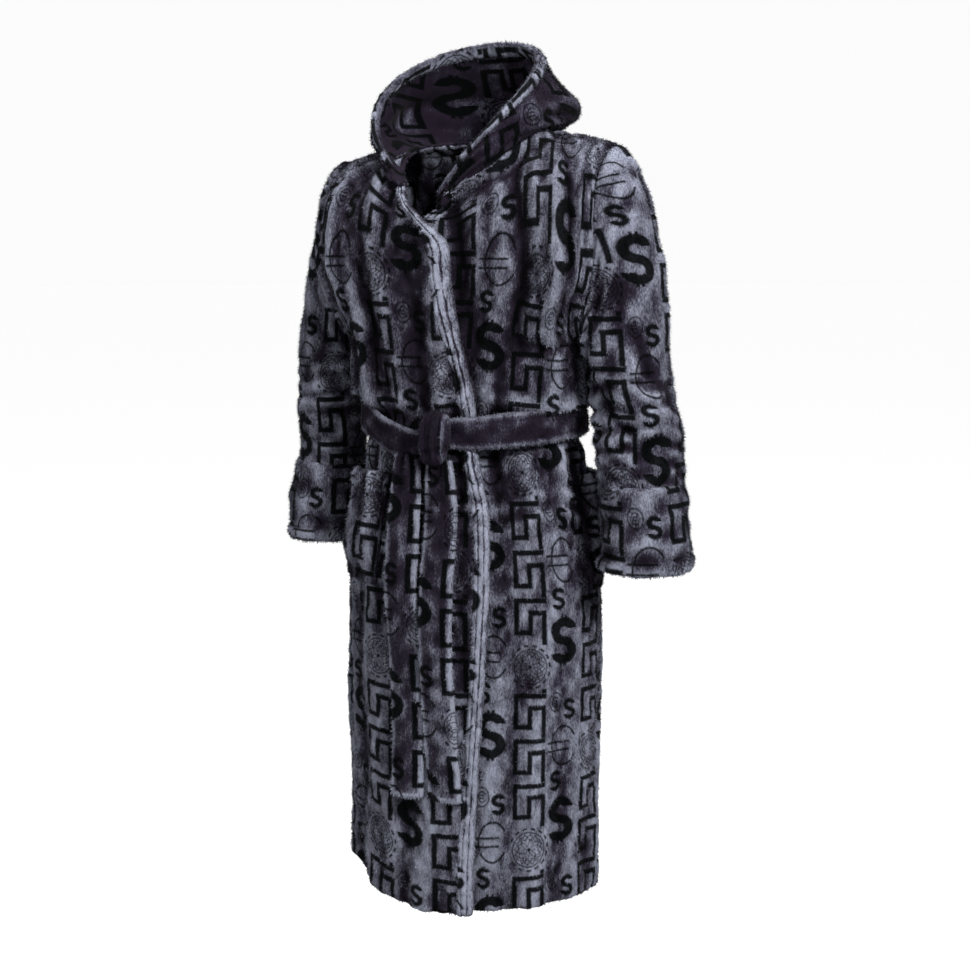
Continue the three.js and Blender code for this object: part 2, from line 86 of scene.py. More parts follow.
CAP_LOW_Z, ELBOW_Z, CAP_END = -0.330, -0.420, 0.45
SLEEVE_X = [(CAP_LOW_Z, 0.262), (ELBOW_Z, 0.282), (WRIST_Z, 0.299)]
SLEEVE_HALF = [(CAP_LOW_Z, 0.062), (ELBOW_Z, 0.060), (WRIST_Z, 0.064)]
SLEEVE_DEPTH, ARM_FORWARD, ARM_GIRTH = 1.12, -0.008, 0.42
RIGHT_ARM_INWARD, RIGHT_ARM_BACK, RIGHT_ARM_NARROWER = 0.018, 0.034, 0.007

HOOD_TOP_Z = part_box("hood_right_band")[1].z - 0.003
HOOD_EDGE = {1: 0.100, -1: 0.150}
HOOD_RISE = {1: 0.85, -1: 1.20}
HOOD_LOW_Z = {1: -0.075, -1: -0.078}
HOOD_BACK, HOOD_FRONT = 0.101, 0.128
HOOD_POUCH, HOOD_SLACK = 0.126, 0.026

POCKET_ANGLE, POCKET_TOP_Z, POCKET_HEIGHT, POCKET_BAND = 46.0, -0.500, 0.170, 0.028
POCKET_FULLNESS, POCKET_STEP = 0.014, 0.0065
POCKET_START = {1: 83.0, -1: -30.0}
POCKET_WIDTH = 0.155

BELT_HEIGHT, BELT_THICK, BELT_GAP = 0.046, 0.010, 0.005
TAIL_WIDTH = 0.052

FINE = 0.005            # side of a mesh cell on the cloth
TUFTS = 90000   # tufts of pile on each square metre
TUFT_LENGTH, TUFT_WIDTH = 0.0034, 0.0012
SEED = 11


# ---- maths on arrays ----
def smooth(x, low, high):
    part = np.clip((x - low) / (high - low), 0, 1)
    return part * part * (3 - 2 * part)


def mix(a, b, part):
    return a + (b - a) * part


def along(stations, z):
    """A value that runs smoothly through stations given as (height, value), highest first."""
    value = np.full_like(z, stations[0][1], dtype=float)
    for (top, a), (low, b) in zip(stations, stations[1:]):
        value = np.where(z < top, mix(a, b, smooth(top - z, 0, top - low)), value)
    return value


def hump(x, middle, width):
    """A smooth hump, 1 at its middle."""
    return np.exp(-((x - middle) / width) ** 2)


def outward(part, side):
    """The share of the way from a piece's inner edge to its outer one, where part runs to the left."""
    return part if side > 0 else 1 - part


def stack(x, y, z):
    return np.stack(np.broadcast_arrays(x, y, z), axis=-1)


def bezier(points, part):
    """A point of a Bezier curve through two end points, pulled by the points between them."""
    points = list(points)
    part = part[..., None]
    while len(points) > 1:
        points = [mix(a, b, part) for a, b in zip(points, points[1:])]
    return points[0]


def waves(x, y, count, seed):
    """Soft uneven ripples: a few sine waves of different lengths and directions, from -1 to 1."""
    rng = np.random.default_rng(seed)
    total = 0
    for _ in range(count):
        turn, stretch, start = rng.uniform(0, math.tau), rng.uniform(0.6, 1.7), rng.uniform(0, math.tau)
        total = total + np.sin(stretch * (x * math.cos(turn) + y * math.sin(turn)) * math.tau + start)
    return total / count ** 0.5


# ---- the shape of the body ----
def armhole_depth(z):
    part = np.clip((z - ARMPIT_Z) / (CHEST_Z - ARMPIT_Z), 0, 1)
    return ARMHOLE_HALF * np.sqrt(np.clip(1 - (1 - part) ** 2, 0, 1))


def level_point(turn, z, back=False):
    forward = np.cos(np.radians(turn))
    behind = np.where(z > ARMPIT_Z, back, forward < 0)
    depth = armhole_depth(z)
    reach = depth + (np.where(behind, along(BACK, z), along(FRONT, z)) - depth) * np.abs(forward)
    return stack(along(SIDE, z) * np.sin(np.radians(turn)), np.where(behind, reach, -reach), z)


def top_point(turn, back):
    """The neckline and the shoulder seam, as one line over the shoulders."""
    from_middle = np.where(back, 180 - np.abs(turn), np.abs(turn))
    side = np.where(turn < 0, -1.0, 1.0)
    to_back = np.where(back, 1.0, -1.0)
    round_neck = np.radians(90 * np.clip(from_middle / NECK_ANGLE, 0, 1))
    reach = np.where(back, NECK_BACK, NECK_FRONT) * np.cos(round_neck)
    neck_z = np.where(back, NECK_BACK_RISE * np.cos(round_neck), -NECK_DROP * np.cos(round_neck) ** 1.3)
    neck_z = neck_z + LEFT_LIFT * smooth(side * np.sin(round_neck), 0, 1)
    part = np.clip((from_middle - NECK_ANGLE) / (90 - NECK_ANGLE), 0, 1)
    x = np.where(part > 0, mix(NECK_SIDE, SHOULDER_X, part), NECK_SIDE * np.sin(round_neck))
    z = np.where(part > 0, LEFT_LIFT * (side > 0) - SHOULDER_DROP * part ** 1.4, neck_z)
    return stack(side * x, to_back * (reach + 0.0004), z)


def hem_rise(turn, row):
    """How much higher the cloth hangs than its row, from nothing at the hips to the most at the hem."""
    at_side = np.where(turn < 0, HEM_RISE[-1], HEM_RISE[1])
    at_back = (HEM_RISE[1] + HEM_RISE[-1]) / 2
    turned = np.abs(turn)
    behind = mix(at_side, at_back, smooth(turned, 90, 180))
    rise = np.where(turned < 90, at_side * smooth(turned, 10, 80), behind)
    return rise * smooth(-row, -HIP_Z, -HEM_Z)


def body_point(turn, row, back=False):
    """A point of the body's outer face. Rows above the chest end at 0 on the shoulder seam."""
    turn = np.where(turn > 180, turn - 360, turn)
    low = level_point(turn, np.minimum(row, CHEST_Z), back)
    low[..., 2] += hem_rise(turn, row)
    chest = level_point(turn, np.full_like(row, CHEST_Z), back)
    top = top_point(turn, back)
    bend_z = np.minimum(top[..., 2], mix(CHEST_Z, top[..., 2], 0.85))
    bend = stack(chest[..., 0], chest[..., 1], bend_z)
    part = np.clip(1 - row / CHEST_Z, 0, 1)
    return np.where((row > CHEST_Z)[..., None], bezier([chest, bend, top], part), low)


def pleats(phase, width=0.6):
    """Broad round ridges with narrow valleys between them, from -0.5 to 0.5."""
    return (0.5 + 0.5 * np.cos(phase)) ** width - 0.5


def body_drape(turn, z):
    """How far the folds carry the cloth out from the body's smooth shape."""
    t = np.radians(turn)
    around = t * 0.19
    below, above = WAIST_Z - z, z - WAIST_Z
    lean = 0.5 * np.sin(3 * t + 1.0) + 0.35 * np.sin(5 * t + 4 * z)

    under = np.exp(-np.clip(below, 0, None) / 0.16) * smooth(below, 0.0, 0.03)
    drape = under * (0.0150 * pleats(17 * t + 2.6 * lean + 2.0 * z) + 0.0060 * pleats(37 * t + 3 * lean))
    skirt = smooth(below, 0.10, 0.42)
    drape = drape + 0.0085 * skirt * pleats(9 * t + 1.6 * np.sin(2 * t + 0.6) + 1.3 * z + 0.4)
    drape = drape + 0.0032 * smooth(below, 0.35, 0.75) * pleats(19 * t + 1.9 * np.sin(3 * t) + 2)
    creased = hump(below, 0.118, 0.045) * smooth(np.cos(t - 0.9), 0.1, 0.6)
    drape = drape + 0.0026 * creased * np.sin(z / 0.0050 + 3 * np.sin(4 * t) + 8 * around)

    over = np.exp(-np.clip(above, 0, None) / 0.12) * smooth(above, 0.0, 0.03)
    drape = drape + over * (0.0120 * pleats(15 * t + 2.4 * lean + 3 * z) + 0.0050 * pleats(31 * t + 4 * z))
    fullness = 0.007 + 0.015 * smooth(np.abs(t + 0.1), 0.35, 0.9) + 0.004 * np.sin(7 * t + 1.7 * lean)
    lip = 0.046 + 0.010 * np.sin(4 * t + 0.5)
    drape = drape + fullness * smooth(above, 0.018, lip) * np.exp(-np.clip(above - lip, 0, None) / 0.075)
    chest = smooth(above, 0.09, 0.20) * (1 - 0.8 * smooth(above, 0.33, 0.43))
    drape = drape + 0.0130 * chest * pleats(12 * t + 2.2 * np.sin(5 * z + 1) + 1.3 * np.sin(2 * t), 0.7)
    drape = drape + 0.0050 * chest * pleats(25 * t + 3.0 * np.sin(7 * z) + 2.0)

    drape = drape + 0.0022 * waves(around / 0.07, z / 0.16, 6, 3)
    drape = drape + 0.0012 * waves(around / 0.03, z / 0.035, 7, 4)
    return drape * smooth(np.abs(below), 0.010, 0.045)


def side_seam(side, z):
    turned = smooth(-z, -ARMPIT_Z, -WAIST_Z)
    return mix(90.0, SIDE_SEAM + side * TWIST, turned) * side


def angle_of(length, z):
    return np.degrees(length / along(FRONT, np.minimum(z, CHEST_Z)))


def underlap(turn, row):
    return UNDERLAP * (1 - smooth(turn, 32, 62)) * smooth(-row, 0.005, 0.045)


def normals(points):
    across = np.gradient(points, axis=1)
    up = np.gradient(points, axis=0)
    way = np.cross(across, up)
    return way / np.maximum(np.linalg.norm(way, axis=-1, keepdims=True), 1e-12)


def raised(points, height):
    """The points moved out along the surface's own direction."""
    return points + normals(points) * height[..., None]


def lumps(points, size, seed):
    """Small uneven lumps of the pile, the same from every side."""
    shift = Vector((seed * 3.1, seed * 1.7, seed * 0.9))
    flat = points.reshape(-1, 3) / size
    heights = [noise.noise(Vector(p) + shift) for p in flat]
    return np.array(heights).reshape(points.shape[:-1])


def ridges(points, way, reach=5):
    """How far each place stands above what is around it: 1 on a fold's ridge and -1 in its valley."""
    wide = np.pad(points, ((reach, reach), (reach, reach), (0, 0)), mode="edge")
    rows, columns = points.shape[:2]
    middle_rows, middle_columns = slice(reach, reach + rows), slice(reach, reach + columns)
    around = wide[:rows, middle_columns] + wide[2 * reach:, middle_columns]
    around = (around + wide[middle_rows, :columns] + wide[middle_rows, 2 * reach:]) / 4
    return np.clip(((points - around) * way).sum(-1) / 0.0055, -1, 1)


def length_up(points):
    """How far each place lies along the cloth from its lower edge."""
    steps = np.linalg.norm(np.diff(points, axis=0), axis=-1)
    return np.concatenate([np.zeros((1, points.shape[1])), np.cumsum(steps, axis=0)])


# ---- pieces of cloth ----
materials = {}


def cell_grid(across_m, up_m, cell=FINE):
    """Evenly spaced u and v for a piece of about that size."""
    columns = max(4, round(across_m / cell))
    rows = max(4, round(up_m / cell))
    return np.meshgrid(np.linspace(0, 1, columns + 1), np.linspace(0, 1, rows + 1))


def placed(name, mesh):
    piece = bpy.data.objects.new(name, mesh)
    bpy.context.scene.collection.objects.link(piece)
    return piece


def mark(mesh, place, outside):
    """Keeps each point's place on the print, with the painted highlight and shade of the pile as a third
    number, and whether pile grows there.
    """
    mesh.attributes.new("print_place_and_painted_light", "FLOAT_VECTOR", "POINT").data.foreach_set("vector", place.ravel())
    mesh.attributes.new("outside", "FLOAT", "POINT").data.foreach_set("value", outside)


def cloth(name, points, thick, pattern, material, round_rim=0.5, lit=0.0, inward=None):
    """A closed piece of cloth: points is its outer face, and pattern the place on the print of each point.
    The inner face lies thick inside it, along inward where the outer face is too rolled to follow, and the
    rim between them bulges, as a turned edge does. The pile is painted paler on the ridges of the folds and
    darker in
    their valleys: painted highlight and painted shade. lit adds more painted highlight, and painted shade
    where it is below 0."""
    rows, columns = points.shape[:2]
    way = normals(points)
    # painted light: paler on the folds' ridges (painted highlight), darker in their valleys (painted shade),
    # plus lit
    ridge = np.clip(ridges(points, way) + lit, -1, 1.6)
    thick = np.broadcast_to(thick, points.shape[:2])[..., None]
    points = points + way * (0.0006 * lumps(points, 0.006, 1) + 0.0010 * lumps(points, 0.017, 2))[..., None]
    inner = points - (way if inward is None else inward) * thick
    index = np.arange(rows * columns).reshape(rows, columns)
    loop = np.concatenate([index[0, :-1], index[:-1, -1], index[-1, :0:-1], index[:0:-1, 0]])
    outer_flat, inner_flat = points.reshape(-1, 3), inner.reshape(-1, 3)
    inset = np.empty((rows, columns, 3))
    inset[:] = points
    inset[0], inset[-1] = points[1], points[-2]
    inset[:, 0], inset[:, -1] = points[:, 1], points[:, -2]
    inset[0, 0], inset[0, -1] = points[1, 1], points[1, -2]
    inset[-1, 0], inset[-1, -1] = points[-2, 1], points[-2, -2]
    edge_way = outer_flat[loop] - inset.reshape(-1, 3)[loop]
    edge_way /= np.maximum(np.linalg.norm(edge_way, axis=1, keepdims=True), 1e-9)
    bulge = thick.reshape(-1, 1)[loop] * round_rim
    middle = (outer_flat[loop] + inner_flat[loop]) / 2 + edge_way * bulge
    count = rows * columns
    verts = np.concatenate([outer_flat, inner_flat, middle])
    a, b = index[:-1, :-1].ravel(), index[:-1, 1:].ravel()
    c, d = index[1:, 1:].ravel(), index[1:, :-1].ravel()
    faces = [np.stack([a, b, c, d], 1), np.stack([a, d, c, b], 1) + count]
    turn = np.roll(loop, -1)
    rim = 2 * count + np.arange(len(loop))
    rim_next = np.roll(rim, -1)
    faces.append(np.stack([turn, loop, rim, rim_next], 1))
    faces.append(np.stack([rim_next, rim, loop + count, turn + count], 1))
    mesh = bpy.data.meshes.new(name)
    mesh.from_pydata(verts.tolist(), [], np.concatenate(faces).tolist())
    mesh.shade_smooth()
    # the third number carries the painted highlight and shade to the material
    place = stack(pattern[0], pattern[1], ridge).reshape(-1, 3)
    place = np.concatenate([place, place, place[loop]])
    mark(mesh, place, np.concatenate([np.ones(count), np.zeros(count), np.ones(len(loop))]))
    piece = placed(name, mesh)
    piece.data.materials.append(materials[material])
    return piece


def settle(piece, body, slot, nodes=(), bend=None):
    """Fixes a piece to its body, or, when bend is given, bakes its place into its mesh, and hides the parts
    it stands for.
    """
    if bend:
        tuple(bend[0])
        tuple(bend[1])
        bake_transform(piece)
    else:
        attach(piece, body)
    if nodes:
        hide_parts(*nodes)


def plush_piece(name, node, points, thick, pattern, body="robe_body", bend=None,
                slot="printed_plush", material="printed plush", lit=0.0, inward=None):
    """A piece of plush with its pile."""
    piece = cloth(name, points, thick, pattern, material, lit=lit, inward=inward)
    pile = grow_pile(piece, f"{name}_pile")
    settle(piece, body, slot, [node], bend)
    settle(pile, body, slot, [], bend)
    return piece


# ---- shader maths ----
class Number:
    """One number that varies over a surface, so that shader maths reads as maths."""
    def __init__(self, maker, socket):
        self.maker = maker
        self.socket = socket

    def _do(self, operation, *others):
        values = [other.socket if isinstance(other, Number) else other for other in (self, *others)]
        made = self.maker.node("ShaderNodeMath", {"operation": operation}, values)
        return Number(self.maker, made.outputs[0])

    def __add__(self, other): return self._do("ADD", other)
    __radd__ = __add__
    def __sub__(self, other): return self._do("SUBTRACT", other)
    def __rsub__(self, other): return self._do("MULTIPLY_ADD", -1.0, other)
    def __mul__(self, other): return self._do("MULTIPLY", other)
    __rmul__ = __mul__
    def __truediv__(self, other): return self._do("DIVIDE", other)
    def __abs__(self): return self._do("ABSOLUTE")
    def under(self, other): return self._do("LESS_THAN", other)
    def over(self, other): return self._do("GREATER_THAN", other)
    def least(self, other): return self._do("MINIMUM", other)
    def most(self, other): return self._do("MAXIMUM", other)
    def wrap(self, low, high): return self._do("WRAP", high, low)
    def floor(self): return self._do("FLOOR")
    def root(self): return self._do("SQRT")
    def sine(self): return self._do("SINE")


class Shader:
    """A material and the nodes in it."""
    def __init__(self, name):
        self.material = bpy.data.materials.new(name)
        self.material.use_nodes = True
        self.tree = self.material.node_tree
        self.surface = self.tree.nodes["Principled BSDF"]

    def node(self, kind, settings=(), inputs=()):
        """Any node: its settings are set first, then its sockets, by place or by name."""
        made = self.tree.nodes.new(kind)
        for key, value in dict(settings).items():
            setattr(made, key, value)
        pairs = inputs.items() if isinstance(inputs, dict) else enumerate(inputs)
        for key, value in pairs:
            value = value.socket if isinstance(value, Number) else value
            if isinstance(value, bpy.types.NodeSocket):
                self.tree.links.new(value, made.inputs[key])
            else:
                made.inputs[key].default_value = value
        return made

    def noise(self, place, scale, detail=2.0, roughness=0.5):
        made = self.node("ShaderNodeTexNoise", {}, {"Vector": place, "Scale": scale, "Detail": detail,
                                                    "Roughness": roughness})
        return Number(self, made.outputs["Fac"])

    def ramp(self, value, low, high):
        made = self.node("ShaderNodeMapRange", {"interpolation_type": "SMOOTHSTEP"},
                         [value, low, high, 0.0, 1.0])
        return Number(self, made.outputs[0])

    def blend(self, part, first, second):
        made = self.node("ShaderNodeMix", {"data_type": "RGBA"}, {0: part, 6: first, 7: second})
        return made.outputs[2]

    def stretch(self, place, factors):
        return self.node("ShaderNodeVectorMath", {"operation": "MULTIPLY"}, [place, factors]).outputs[0]

    def finish(self, color, bump, strength, distance, **constants):
        made = self.node("ShaderNodeBump", {}, {"Strength": strength, "Distance": distance, "Height": bump})
        self.tree.links.new(color, self.surface.inputs["Base Color"])
        self.tree.links.new(made.outputs[0], self.surface.inputs["Normal"])
        for key, value in constants.items():
            self.surface.inputs[key.replace("_", " ")].default_value = value
        return self.material


# ---- the print: a key pattern, money signs and rosettes in columns ----
COLUMN, REPEAT = 0.130, 0.300
KEY_WIDTH, KEY_STEP, KEY_LINE = 0.057, 0.074, 0.0084


def bar(x, y, left, right, low, high):
    inside_x = abs(x - (left + right) / 2) - (right - left) / 2
    return inside_x.most(abs(y - (low + high) / 2) - (high - low) / 2)


def union(*shapes):
    joined = shapes[0]
    for shape in shapes[1:]:
        joined = joined.least(shape)
    return joined


def key_pattern(x, y):
    """A running key: one line that doubles back on itself, its step repeated down the column."""
    y = y.wrap(0.0, KEY_STEP)
    w, h, b = KEY_WIDTH / 2, KEY_STEP, KEY_LINE
    return union(bar(x, y, -w, w, h - b, h), bar(x, y, -w, b - w, 0.20 * h, h),
                 bar(x, y, -w, b / 2, 0.20 * h, 0.20 * h + b), bar(x, y, -b / 2, b / 2, 0.20 * h, 0.74 * h),
                 bar(x, y, -b / 2, w, 0.74 * h - b, 0.74 * h), bar(x, y, w - b, w, 0, 0.74 * h))


def dollar(x, y, size, line):
    """An S of two open rings, each the other turned half round, and two strokes through its ends."""
    r = size / 4
    rise = r - line * 0.10

    def bowl(bx, by):
        ring = abs(((bx * 0.84) * (bx * 0.84) + by * by).root() - r + line * 0.15) - line / 2
        return ring + bx.over(0.0) * by.under(r * 0.22)

    body = bowl(x, y - rise).least(bowl(-1.0 * x, -1.0 * (y + rise)))
    stroke = line * 0.17
    strokes = bar(abs(x), abs(y), line * 0.28 - stroke, line * 0.28 + stroke, size * 0.40, size * 0.60)
    return body.least(strokes)


def euro(x, y, size, line):
    r = size / 2
    ring = abs(((x * 1.35) * (x * 1.35) + y * y).root() - r) - line / 2
    cut = x.over(r * 0.42) * abs(y).under(r * 0.5)
    bars = bar(x, abs(y), -r * 1.0, r * 0.35, size * 0.08, size * 0.08 + line)
    return (ring + cut).least(bars)


def rosette(maker, x, y, radius):
    """Rings with a scalloped edge and a few petals: an ornament with no figure in it."""
    distance = (x * x + y * y).root()
    turn = maker.node("ShaderNodeMath", {"operation": "ARCTAN2"}, [y, x])
    angle = Number(maker, turn.outputs[0])
    scallop = (angle * 16.0).sine() * 0.0014
    petal = (angle * 6.0).sine() * 0.006 + 0.011
    rings = union(abs(distance - radius) - 0.0009, abs(distance - radius * 0.82 + scallop) - 0.0008,
                  abs(distance - petal) - 0.0012, distance - 0.003,
                  abs(distance - radius * 0.66 - (angle * 12.0).sine() * 0.002) - 0.001)
    beads = abs(distance - radius * 1.22).most((0.25 - (angle * 15.0).sine()) * 0.004) - 0.0016
    return rings.least(beads)


def printed(maker, place):
    """How much of the dark print lies at a place, from 0 to 1, with the edge furred by the pile."""
    fray = maker.noise(place, 420.0, 2.0)
    split = maker.node("ShaderNodeSeparateXYZ", {}, [place])
    x, y = Number(maker, split.outputs[0]), Number(maker, split.outputs[1])
    column = (x / COLUMN).floor()
    half_drop = column * (REPEAT / 2)
    key_x = x.wrap(0.0, COLUMN) - KEY_WIDTH * 0.55
    key_y = (y + half_drop).wrap(0.0, REPEAT)
    key_end = (key_y - KEY_STEP * 3.1).most(-1.0 * key_y)
    key = key_pattern(key_x, key_y).most(key_end)
    medal = rosette(maker, key_x, key_y - (REPEAT + KEY_STEP * 3.1) / 2, 0.028)
    sign_x = x.wrap(0.0, COLUMN) - (KEY_WIDTH + COLUMN) * 0.5
    sign_y = (y + half_drop + 0.04).wrap(0.0, REPEAT)
    signs = union(dollar(sign_x, sign_y - 0.045, 0.068, 0.0150),
                  dollar(sign_x + 0.012, sign_y - 0.112, 0.031, 0.0074),
                  euro(sign_x - 0.004, sign_y - 0.170, 0.066, 0.0036),
                  dollar(sign_x - 0.014, sign_y - 0.232, 0.031, 0.0074),
                  euro(sign_x + 0.014, sign_y - 0.245, 0.017, 0.0018),
                  abs((((sign_x + 0.014) * (sign_x + 0.014)) * 1.7
                       + (sign_y - 0.245) * (sign_y - 0.245)).root() - 0.0155) - 0.0010)
    nearest = key.least(medal).least(signs)
    edge = nearest + (fray - 0.5) * 0.0030
    return 1.0 - maker.ramp(edge, -0.0016, 0.0018)


# ---- materials ----
# pale pile, also used as painted highlight on the fold ridges and rolled edges
PALE_PILE_AND_PAINTED_HIGHLIGHT = (0.250, 0.265, 0.330, 1)
MID_PILE = (0.034, 0.030, 0.047, 1)
PLUM_PILE = (0.0115, 0.0080, 0.0145, 1)
# near black: painted shade in the fold valleys
PAINTED_SHADE_PILE = (0.0030, 0.0024, 0.0038, 1)
PRINT_INK = (0.0007, 0.0012, 0.0012, 1)


def plush_material(name, light=1.0, with_print=True, deeper=0.0):
    """Mottled plush: plum and pale at random where the pile lies differently, with painted highlight on the
    folds' ridges and painted shade, down to near black, in their valleys, and the dark print on top.
    """
    maker = Shader(name)
    place = maker.node("ShaderNodeAttribute", {"attribute_name": "print_place_and_painted_light"}).outputs["Vector"]
    body = maker.node("ShaderNodeTexCoord").outputs["Object"]
    clouds = maker.noise(maker.stretch(body, (13.0, 13.0, 8.0)), 1.0, 4.0, 0.6)
    patches = maker.noise(maker.stretch(body, (62.0, 62.0, 24.0)), 1.0, 3.0, 0.6)
    hairs = maker.noise(maker.stretch(body, (520.0, 520.0, 190.0)), 1.0, 2.0, 0.6)
    grain = maker.noise(body, 900.0, 1.0)
    split = maker.node("ShaderNodeSeparateXYZ", {}, [place])
    # painted light read from the mesh: above 0 painted highlight, below 0 painted shade
    ridge = Number(maker, split.outputs[2])
    tall = maker.node("ShaderNodeSeparateXYZ", {}, [body])
    low_down = maker.ramp(Number(maker, tall.outputs[2]) * -1.0, 0.42, 0.95)
    # pale mottle of the pile, raised on the ridges by painted highlight
    pile_lie_and_painted_light = clouds * 0.45 + patches * 0.45 + hairs * 0.50 + ridge * 0.22 + low_down * 0.10 - deeper
    pale = maker.ramp(pile_lie_and_painted_light, 0.66, 1.10)
    # plum to mid tone, made darker in the valleys by painted shade
    depth = clouds * 0.55 + patches * 0.40 + hairs * 0.30 + ridge * 0.20 + low_down * 0.12 - deeper
    ground = maker.blend(maker.ramp(depth, 0.45, 0.82), PLUM_PILE, MID_PILE)
    # painted shade: near black in the fold valleys, spread unevenly by the patches
    ground = maker.blend(maker.ramp(ridge * -1.0 + (patches - 0.5), 0.10, 1.0) * 0.8, ground, PAINTED_SHADE_PILE)
    colour = maker.blend(pale * light, ground, PALE_PILE_AND_PAINTED_HIGHLIGHT)
    if with_print:
        ink = printed(maker, place)
        colour = maker.blend(ink * (1.0 - 0.05 * hairs), colour, PRINT_INK)
    return maker.finish(colour, hairs * 0.7 + grain * 0.3 + patches * 0.6, 0.55, 0.003, Roughness=0.92,
                        Sheen_Weight=0.02, Sheen_Roughness=0.5, Specular_IOR_Level=0.02)


def plain_material(name, colour, roughness, scale):
    maker = Shader(name)
    body = maker.node("ShaderNodeTexCoord").outputs["Object"]
    weave = maker.noise(maker.stretch(body, (scale, scale, scale * 2.5)), 1.0, 1.0)
    lighter = tuple(min(1.0, c * 1.9) for c in colour[:3]) + (1,)
    return maker.finish(maker.blend(weave, colour, lighter), weave, 0.5, 0.0006, Roughness=roughness)


def make_materials():
    materials["printed plush"] = plush_material("printed plush")
    # a copy of the plush with its pale pile 1.7 times as strong: painted highlight on the folded bands
    materials["band plush with painted highlight"] = plush_material("band plush with painted highlight", 1.7, True)
    materials["belt plush"] = plush_material("belt plush", 1.0, True, 0.04)
    materials["plain belt plush"] = plush_material("plain belt plush", 0.8, False, 0.08)
    # a darker copy of the printed plush: painted shade over the whole hood
    materials["hood plush with painted shade"] = plush_material("hood plush with painted shade", 0.7, True, 0.17)
    materials["dark tape"] = plain_material("dark tape", (0.012, 0.012, 0.016, 1), 0.8, 1500.0)


# ---- pile by Geometry Nodes ----
class Growth:
    """A Geometry Nodes tree with named inputs, run on an object and made a plain mesh."""
    def __init__(self, name, inputs):
        self.tree = bpy.data.node_groups.new(name, "GeometryNodeTree")
        self.tree.interface.new_socket("Geometry", in_out="INPUT", socket_type="NodeSocketGeometry")
        self.tree.interface.new_socket("Geometry", in_out="OUTPUT", socket_type="NodeSocketGeometry")
        self.inputs = {}
        for key, kind in inputs.items():
            socket = self.tree.interface.new_socket(key, in_out="INPUT", socket_type=kind)
            self.inputs[key] = socket.identifier
        self.start = self.tree.nodes.new("NodeGroupInput")

    def node(self, kind, settings=(), inputs=()):
        made = self.tree.nodes.new(kind)
        for key, value in dict(settings).items():
            setattr(made, key, value)
        for key, value in dict(inputs).items():
            if isinstance(value, bpy.types.NodeSocket):
                self.tree.links.new(value, made.inputs[key])
            else:
                made.inputs[key].default_value = value
        return made

    def close(self, geometry, material):
        real = self.node("GeometryNodeRealizeInstances", {}, {0: geometry})
        painted = self.node("GeometryNodeSetMaterial", {},
                            {"Geometry": real.outputs[0], "Material": material})
        end = self.tree.nodes.new("NodeGroupOutput")
        self.tree.links.new(painted.outputs[0], end.inputs[0])

    def run(self, source, name, values):
        """The result on a copy of the source's mesh, as a plain mesh of its own."""
        carrier = placed(name + "_carrier", source)
        modifier = carrier.modifiers.new("growth", "NODES")
        modifier.node_group = self.tree
        for key, value in values.items():
            modifier[self.inputs[key]] = value
        depsgraph = bpy.context.evaluated_depsgraph_get()
        mesh = bpy.data.meshes.new_from_object(carrier.evaluated_get(depsgraph))
        bpy.data.objects.remove(carrier)
        mesh.name = name
        return placed(name, mesh)


def tuft():
    """One tuft: a narrow blade that bends over at its tip."""
    mesh = bpy.data.meshes.new("tuft")
    verts = [(-0.5, 0, 0), (0.5, 0, 0), (0.32, 0.30, 0.62), (-0.32, 0.30, 0.62), (0, 0.85, 1.0)]
    mesh.from_pydata(verts, [], [(0, 1, 2, 3), (3, 2, 4)])
    return bpy.data.objects.new("tuft", mesh)


def pile_growth(material):
    """Tufts spread over the outside of a piece, leaning down, each a little turned."""
    growth = Growth("pile", {"Density": "NodeSocketFloat", "Length": "NodeSocketFloat",
                             "Width": "NodeSocketFloat", "Seed": "NodeSocketInt"})
    given = growth.start.outputs
    outside = growth.node("GeometryNodeInputNamedAttribute", {"data_type": "FLOAT"}, {"Name": "outside"})
    points = growth.node("GeometryNodeDistributePointsOnFaces", {}, {
        "Mesh": given["Geometry"], "Density": given["Density"], "Seed": given["Seed"]})
    picked = growth.node("FunctionNodeCompare", {"data_type": "FLOAT", "operation": "GREATER_THAN"},
                         {0: outside.outputs[0], 1: 0.4})
    growth.tree.links.new(picked.outputs[0], points.inputs["Selection"])
    down = growth.node("FunctionNodeAlignRotationToVector", {"axis": "Y", "pivot_axis": "Z"},
                       {"Rotation": points.outputs["Rotation"], "Vector": (0.0, 0.0, -1.0)})
    turn = growth.node("FunctionNodeRandomValue", {"data_type": "FLOAT_VECTOR"}, {
        0: (-0.45, -0.30, -0.9), 1: (0.45, 0.30, 0.9), "Seed": given["Seed"]})
    turned = growth.node("FunctionNodeRotateRotation", {"rotation_space": "LOCAL"}, {
        "Rotation": down.outputs[0], "Rotate By": turn.outputs[0]})
    length = growth.node("FunctionNodeRandomValue", {"data_type": "FLOAT"}, {2: 0.65, 3: 1.25, "Seed": 3})
    tall = growth.node("ShaderNodeMath", {"operation": "MULTIPLY"},
                       {0: length.outputs[1], 1: given["Length"]})
    size = growth.node("ShaderNodeCombineXYZ", {},
                       {0: given["Width"], 1: tall.outputs[0], 2: tall.outputs[0]})
    blade = growth.node("GeometryNodeObjectInfo", {}, {"Object": tuft()})
    tufts = growth.node("GeometryNodeInstanceOnPoints", {}, {
        "Points": points.outputs["Points"], "Instance": blade.outputs["Geometry"],
        "Rotation": turned.outputs[0], "Scale": size.outputs[0]})
    growth.close(tufts.outputs[0], material)
    return growth


pile_growths = {}


